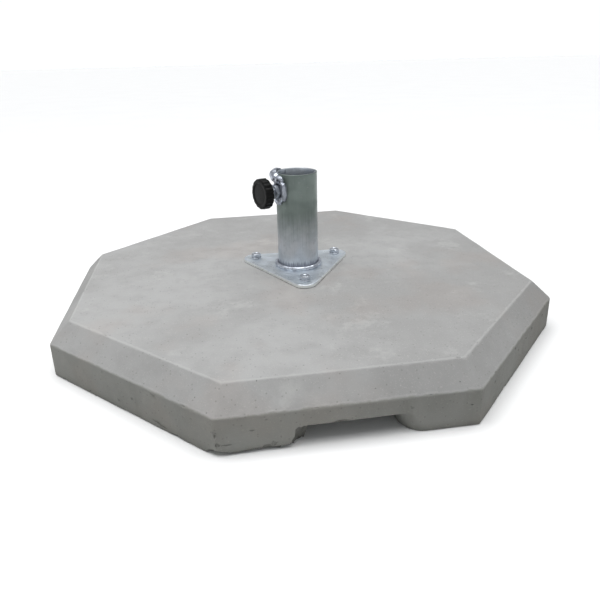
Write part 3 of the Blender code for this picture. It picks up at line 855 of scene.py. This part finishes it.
boltSet = {"flats": 13 * mm, "head": 5.3 * mm, "shank": 4 * mm, "length": 30 * mm,
           "edge": 0.25 * mm, "turned": 0.60, "crown": 1.9 * mm, "crownDrop": 1.0 * mm,
           "dimpleFoot": 3.2 * mm, "dimpleMouth": 4.4 * mm, "dimpleHeight": 1.2 * mm,
           "dimpleLift": 0.25 * mm,
           "washer": 8 * mm, "washerHole": 4.3 * mm, "washerEdge": 0.35 * mm,
           "outerFrom": 7 * mm,  # edges past this are on the outside
           "turns": (0.28, 1.1, -0.45)}  # each head was tightened to its own angle
washerLow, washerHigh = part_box("plate_washer_1")
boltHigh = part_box("plate_bolt_1")[1]
headFoot = boltHigh.z - boltSet["head"]
headMiddle = (0, 0, headFoot + boltSet["head"] / 2)

bpy.ops.object.select_all(action="DESELECT")
bpy.ops.mesh.primitive_cylinder_add(
    vertices=64, radius=boltSet["washer"], depth=washerHigh.z - washerLow.z,
    location=(0, 0, (washerHigh.z + washerLow.z) / 2))
washer = named("washer_1")
fixPlace(washer)
openEdit(washer)
pick(washer, "faces", lambda f: abs(f.normal.z) > 0.9)
bpy.ops.mesh.inset(thickness=boltSet["washer"] - boltSet["washerHole"], use_individual=True)
bpy.ops.mesh.bridge_edge_loops()
bpy.ops.mesh.select_mode(type="EDGE")
pick(washer, "edges",
     lambda e: isRing(e) and math.hypot(*e.verts[0].co.xy) > boltSet["outerFrom"])
bpy.ops.mesh.bevel(offset=boltSet["washerEdge"], segments=3)
closeEdit()
smooth(washer, 35)

bpy.ops.object.select_all(action="DESELECT")
bpy.ops.mesh.primitive_cylinder_add(
    vertices=6, radius=boltSet["flats"] / 2 / math.cos(math.pi / 6), depth=boltSet["head"],
    location=headMiddle)
bolt = named("bolt_1")
fixPlace(bolt)
applied(bolt, "BEVEL", width=boltSet["edge"], segments=2)
bpy.ops.object.select_all(action="DESELECT")
bpy.ops.mesh.primitive_cylinder_add(
    vertices=96, radius=boltSet["flats"] * boltSet["turned"], depth=boltSet["head"],
    location=headMiddle)
turned = named("head_turning")
fixPlace(turned)
openEdit(turned)
pick(turned, "faces", lambda f: f.normal.z > 0.9)
bpy.ops.mesh.inset(thickness=boltSet["crown"])
pick(turned, "edges", lambda e: isRing(e) and isLevel(e, boltHigh.z)
     and math.hypot(*e.verts[0].co.xy) > boltSet["outerFrom"])
bpy.ops.transform.translate(value=(0, 0, -boltSet["crownDrop"]))
closeEdit()
cutWith(bolt, turned, "INTERSECT")
bpy.ops.object.select_all(action="DESELECT")
bpy.ops.mesh.primitive_cone_add(
    vertices=48, radius1=boltSet["dimpleFoot"], radius2=boltSet["dimpleMouth"],
    depth=boltSet["dimpleHeight"], location=(0, 0, boltHigh.z + boltSet["dimpleLift"]))
cutWith(bolt, named("dimple"))
bpy.ops.object.select_all(action="DESELECT")
bpy.ops.mesh.primitive_cylinder_add(
    vertices=48, radius=boltSet["shank"], depth=boltSet["length"] + mm,
    location=(0, 0, headFoot - boltSet["length"] / 2 + mm / 2))
cutWith(bolt, named("shank"), "UNION")
smooth(bolt, 30)
fixings = []
for number, (place, spin) in enumerate(zip(boltPlaces, boltSet["turns"]), 1):
    for first, kind, angle in ((bolt, "bolt", spin), (washer, "washer", 0)):
        piece = first
        if number > 1:
            piece = bpy.data.objects.new(f"{kind}_{number}", first.data.copy())
            bpy.context.scene.collection.objects.link(piece)
        fixings.append((piece, f"plate_{kind}_{number}", place, angle))
for piece, node, place, angle in fixings:
    placed(piece, Matrix.Translation(place) @ Matrix.Rotation(angle, 4, "Z"))
    settle(piece, fixingFinish, "base", "bright_zinc", node)
print("fixings made")


# clamp screw

screwSet = {"start": 30.9 * mm, "headStart": 53 * mm, "head": 7 * mm, "headFlats": 18 * mm,
            "headEdge": 0.4 * mm, "crest": 5.95 * mm, "root": 5.0 * mm, "pitch": 1.75 * mm,
            "leadIn": 1.2 * mm, "rows": 10, "sides": 60, "pegHole": 2.7 * mm,
            "pegHoleMiddle": 32.9 * mm, "pegHoleLength": 12 * mm}
rowStep = screwSet["pitch"] / screwSet["rows"]
rows = round((screwSet["headStart"] - screwSet["start"]) / rowStep)
bpy.ops.object.select_all(action="DESELECT")
bpy.ops.mesh.primitive_cylinder_add(
    vertices=screwSet["sides"], radius=screwSet["crest"], depth=rowStep,
    location=(0, 0, screwSet["start"] + rowStep / 2))
screw = named("screw_steel")
fixPlace(screw)
openEdit(screw)
pick(screw, "faces", lambda f: f.normal.z > 0.9)
for row in range(1, rows):
    bpy.ops.mesh.extrude_region_move(TRANSFORM_OT_translate={"value": (0, 0, rowStep)})
closeEdit()
for corner in screw.data.vertices:
    angle = math.atan2(corner.co.y, corner.co.x)
    phase = ((corner.co.z - screwSet["start"]) / screwSet["pitch"] - angle / math.tau) % 1
    flank = min(1, max(0, 2.3 * abs(phase - 0.5) - 0.12))  # flat crest, rounded root
    lead = min(1, (corner.co.z - screwSet["start"]) / screwSet["leadIn"])
    radius = screwSet["root"] + (screwSet["crest"] - screwSet["root"]) * (1 - flank) * lead
    corner.co.x, corner.co.y = radius * math.cos(angle), radius * math.sin(angle)
bpy.ops.object.select_all(action="DESELECT")
bpy.ops.mesh.primitive_cylinder_add(
    vertices=6, radius=screwSet["headFlats"] / 2 / math.cos(math.pi / 6),
    depth=screwSet["head"], location=(0, 0, screwSet["headStart"] + screwSet["head"] / 2))
screwHead = named("screw_head")
fixPlace(screwHead)
applied(screwHead, "BEVEL", width=screwSet["headEdge"], segments=2)
joined([screw, screwHead])
bpy.ops.object.select_all(action="DESELECT")
bpy.ops.mesh.primitive_cylinder_add(
    vertices=40, radius=screwSet["pegHole"], depth=screwSet["pegHoleLength"],
    location=(0, 0, screwSet["pegHoleMiddle"]))
cutWith(screw, named("peg_drill"))
placed(screw, screwAxis)
smooth(screw, 40)
settle(screw, fixingFinish, "screw_and_knob", "bright_zinc", "clamp_screw")
print("screw threaded")


# thrust cap

capSet = {"start": 27.6 * mm, "radius": 5 * mm, "thickness": 3 * mm, "peg": 2.4 * mm,
          "pegLength": 5 * mm, "edge": 0.7 * mm}
bpy.ops.object.select_all(action="DESELECT")
bpy.ops.mesh.primitive_cylinder_add(
    vertices=64, radius=capSet["radius"], depth=capSet["thickness"],
    location=(0, 0, capSet["start"] + capSet["thickness"] / 2))
cap = named("cap_nylon")
fixPlace(cap)
openEdit(cap)
pick(cap, "faces", lambda f: f.normal.z > 0.9)
bpy.ops.mesh.inset(thickness=capSet["radius"] - capSet["peg"])
bpy.ops.mesh.extrude_region_move(
    TRANSFORM_OT_translate={"value": (0, 0, capSet["pegLength"])})
pick(cap, "faces", lambda f: f.normal.z < -0.9)
bpy.ops.mesh.bevel(offset=capSet["edge"], segments=4)
closeEdit()
placed(cap, screwAxis)
smooth(cap, 35)
print("cap moulded")


# knob

knobSet = {"radius": 21.8 * mm, "start": 49.6 * mm, "end": 63.4 * mm, "backRim": 17 * mm,
           "setBack": 2.4 * mm, "frontRound": 2.6 * mm, "dish": 15 * mm, "dishDepth": 0.8 * mm,
           "lobes": 16, "groove": 0.045, "pointsPerLobe": 12, "grooveFrom": 16.4 * mm,
           "grooveFade": 4.0 * mm, "hub": 9.5 * mm, "hollow": 1.4 * mm, "screwHole": 6.3 * mm}
knobSides = knobSet["lobes"] * knobSet["pointsPerLobe"]
bpy.ops.object.select_all(action="DESELECT")
bpy.ops.mesh.primitive_cylinder_add(
    vertices=knobSides, radius=knobSet["backRim"], depth=0.4 * mm,
    location=(0, 0, knobSet["start"] + 0.2 * mm))
knob = named("knob_moulding")
fixPlace(knob)
openEdit(knob)
pick(knob, "faces", lambda f: f.normal.z > 0.9)
bulge = knobSet["frontRound"]
profile = [  # from the back rim round to the middle of the front
    (knobSet["backRim"] + 2.2 * mm, knobSet["start"] + 0.9 * mm),
    (knobSet["radius"] - 0.8 * mm, knobSet["start"] + 1.7 * mm),
    (knobSet["radius"] - 0.1 * mm, knobSet["start"] + knobSet["setBack"]),
    (knobSet["radius"], knobSet["start"] + 3.2 * mm),
    (knobSet["radius"], knobSet["start"] + 7.5 * mm),
    (knobSet["radius"], knobSet["end"] - bulge),
]
for step in range(1, 7):
    bend = math.pi / 2 * step / 6
    profile.append((knobSet["radius"] - bulge * (1 - math.cos(bend)),
                    knobSet["end"] - bulge * (1 - math.sin(bend))))
dishFloor = knobSet["end"] - knobSet["dishDepth"]
profile += [
    (knobSet["dish"] + 1.1 * mm, knobSet["end"]),
    (knobSet["dish"] + 0.5 * mm, knobSet["end"] - 0.15 * mm),
    (knobSet["dish"], dishFloor - 0.1 * mm),
    (knobSet["dish"] - 0.8 * mm, dishFloor),
    (8 * mm, dishFloor + 0.1 * mm),
    (3 * mm, dishFloor + 0.15 * mm),
]
growUp(knob, knobSet["backRim"], profile)
pick(knob, "faces", lambda f: f.normal.z < -0.9
     and f.calc_center_median().z < knobSet["start"] + 0.1 * mm)
bpy.ops.mesh.inset(thickness=knobSet["backRim"] - knobSet["hub"])
bpy.ops.mesh.extrude_region_move(TRANSFORM_OT_translate={"value": (0, 0, knobSet["hollow"])})
closeEdit()
for corner in knob.data.vertices:
    reach = math.hypot(corner.co.x, corner.co.y)
    angle = math.atan2(corner.co.y, corner.co.x)
    wave = abs(math.cos(knobSet["lobes"] / 2 * angle)) ** 0.8
    depth = min(1, max(0, (reach - knobSet["grooveFrom"]) / knobSet["grooveFade"]))
    share = 1 - knobSet["groove"] * (1 - wave) * depth
    corner.co.x *= share
    corner.co.y *= share
bpy.ops.object.select_all(action="DESELECT")
bpy.ops.mesh.primitive_cylinder_add(
    vertices=48, radius=knobSet["screwHole"], depth=8 * mm, location=(0, 0, knobSet["start"]))
cutWith(knob, named("knob_drill"))
placed(knob, screwAxis)
smooth(knob, 32)
print("knob moulded")


# plastic finishes

def plastic(name, look):
    made = newMaterial(name, look["colour"], look["roughness"])
    tree = made.node_tree
    place = objectPlace(tree)
    worn = between(tree, cloud(tree, place, 90, 5, 0.65), 0.44, 0.70, 0, look["wear"])
    colour = blended(tree, worn, look["colour"], look["worn"])
    dust = between(tree, cloud(tree, place, 420, 4, 0.7), 0.58, 0.72, 0, look["dust"])
    colour = blended(tree, dust, colour, look["worn"])
    grain = cloud(tree, place, 1500, 2, 0.5)
    scuffs = cloud(tree, objectPlace(tree, stretch=(60, 300, 700), turn=(0.4, 0.7, 0.2)), 1, 3)
    rough = calc(tree, "ADD", between(tree, worn, 0, 1, look["roughness"] - 0.05,
                                      look["roughness"] + 0.25),
                 between(tree, scuffs, 0.4, 0.7, -0.06, 0.06))
    normal = raised(tree, grain, 0.05 * mm, 0.7)
    normal = raised(tree, scuffs, 0.05 * mm, 0.25, normal)
    finishWith(tree, Base_Color=colour, Roughness=rough, Normal=normal)
    gloss = tree.nodes["Principled BSDF"].inputs["Specular IOR Level"]
    gloss.default_value = look["gloss"]
    return made


knobLook = {"colour": (0.0045, 0.0045, 0.0045), "worn": (0.014, 0.014, 0.013), "wear": 0.35,
            "dust": 0.25, "roughness": 0.46, "gloss": 0.10}
capLook = {"colour": (0.70, 0.69, 0.63), "worn": (0.50, 0.47, 0.40), "wear": 0.4,
           "dust": 0.3, "roughness": 0.42, "gloss": 0.5}
settle(knob, plastic("blackKnobPlastic", knobLook), "screw_and_knob", "black_plastic",
       "clamp_knob")
settle(cap, plastic("naturalNylon", capLook), "screw_travel", "nylon", "thrust_cap")


# floor, lights and sky

stageSet = {
    "floor": 60.0, "floorColour": (0.83, 0.83, 0.83), "floorShade": (0.815, 0.815, 0.815),
    "sun": 2.75, "sunWidth": 60, "sunTilt": (0, 5),
    "key": 11, "keySize": 1.2, "keyPlace": (-0.9, -0.1, 1.7),
    "sky": (0.94, 0.97, 1.0), "skyStrength": 0.34, "horizon": 1.08,
    "horizonTop": (0.22, 0.13),  # the bright band fades out between these rises
    "floorDrop": 0.4 * mm,  # clear of the slab's underside
}
bpy.ops.object.select_all(action="DESELECT")
bpy.ops.mesh.primitive_plane_add(
    size=stageSet["floor"], location=(0, 0, -stageSet["floorDrop"]))
floor = named("floor")
floorFinish = newMaterial("paleFloor", stageSet["floorColour"], 0.9)
floorTree = floorFinish.node_tree
shade = between(floorTree, cloud(floorTree, objectPlace(floorTree), 3, 4), 0.3, 0.7)
finishWith(floorTree, Base_Color=blended(
    floorTree, shade, stageSet["floorColour"], stageSet["floorShade"]))
floor.data.materials.append(floorFinish)

bpy.ops.object.light_add(type="SUN")
sun = bpy.context.object
sun.name = "overhead_light"
sun.data.energy = stageSet["sun"]
sun.data.angle = math.radians(stageSet["sunWidth"])
sun.rotation_euler = [math.radians(angle) for angle in (*stageSet["sunTilt"], 0)]
bpy.ops.object.light_add(type="AREA", location=stageSet["keyPlace"])
key = bpy.context.object
key.name = "key_light"
key.data.shape = "DISK"
key.data.energy = stageSet["key"]
key.data.size = stageSet["keySize"]
key.rotation_euler = (-Vector(stageSet["keyPlace"])).to_track_quat("-Z", "Y").to_euler()

world = bpy.data.worlds.new("studio")
world.use_nodes = True
bpy.context.scene.world = world
worldTree = world.node_tree
away = addNode(worldTree, "TexCoord", {}).outputs["Generated"]
rise = addNode(worldTree, "SeparateXYZ", {0: away}).outputs[2]
glow = between(worldTree, rise, *stageSet["horizonTop"],
               stageSet["skyStrength"], stageSet["horizon"])
sky = worldTree.nodes["Background"]
sky.inputs["Color"].default_value = (*stageSet["sky"], 1)
worldTree.links.new(glow, sky.inputs["Strength"])
bpy.context.scene.view_settings.view_transform = "Standard"
print("stage lit")
